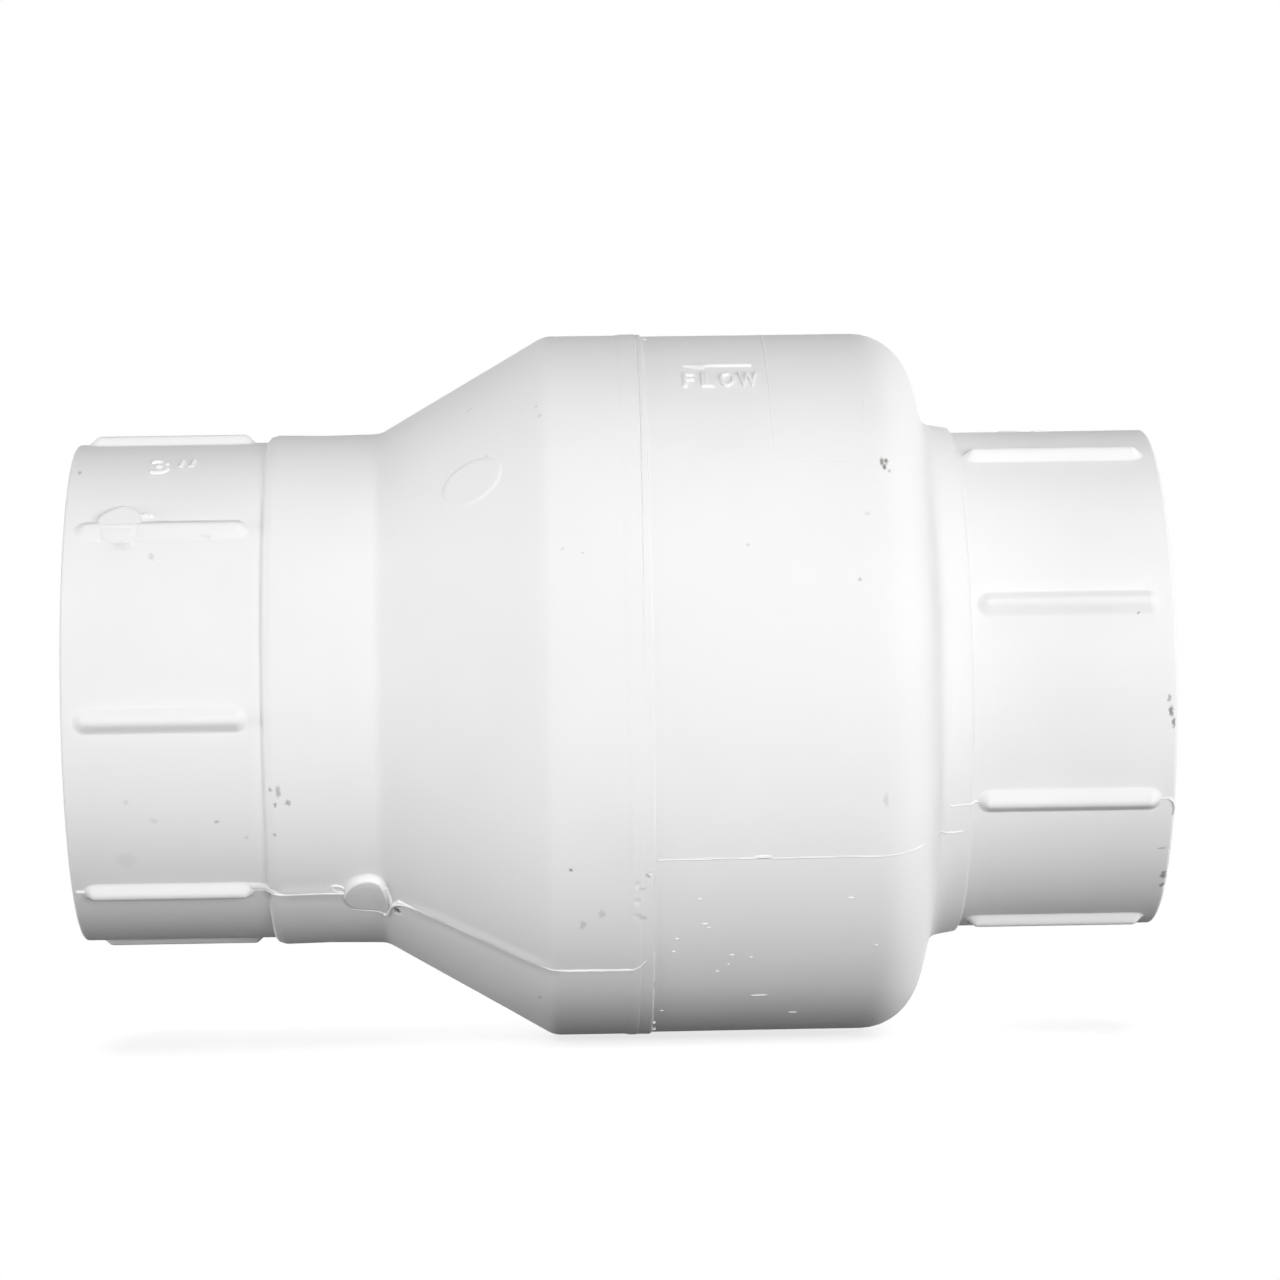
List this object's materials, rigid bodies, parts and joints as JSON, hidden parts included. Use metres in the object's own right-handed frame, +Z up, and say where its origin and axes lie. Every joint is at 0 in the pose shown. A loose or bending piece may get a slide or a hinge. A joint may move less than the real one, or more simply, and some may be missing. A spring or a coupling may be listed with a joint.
{
  "type": "spring non-return valve",
  "caption": "In-line spring check valve in welded plastic halves, with a pipe socket at each end and a guided poppet that shuts on a raised seat.",
  "frame": {"origin": "centre of the outlet socket's mouth, on the pipe axis", "axes": "+X along the pipe from the outlet mouth to the inlet mouth, so that liquid flows towards -X; +Z up; the side with the flow arrow faces -Y"},
  "size_m": [0.2166, 0.143, 0.143],
  "materials": {
    "shell_plastic": "injection-moulded white pressure-pipe plastic, faintly satin",
    "guide_plastic": "moulded white plastic",
    "bush_plastic": "turned natural bearing plastic",
    "poppet_plastic": "moulded grey plastic",
    "seal_rubber": "matt black rubber",
    "stainless": "bright stainless steel",
    "spring_wire": "drawn stainless wire"
  },
  "bodies": {
    "valve_body": {"outlet_body": "shell_plastic", "inlet_body": "shell_plastic", "guide_spider": "guide_plastic", "guide_bush": "bush_plastic", "spring_seat_washer": "stainless", "closing_spring": "spring_wire"},
    "poppet": {"poppet_disc": "poppet_plastic", "seat_seal": "seal_rubber", "seal_retainer": "poppet_plastic", "stem_bolt": "stainless", "stem_o_ring": "seal_rubber", "head_washer": "stainless", "nut_washer": "stainless", "lock_nut": "stainless"}
  },
  "joints": [
    {"name": "poppet_slide", "type": "slide", "parent": "valve_body", "child": "poppet", "axis": [-1, 0, 0], "range_m": [0, 0.021], "stiffness_N_per_m": 500, "springref_m": -0.032, "deforming": ["closing_spring"]}
  ]
}
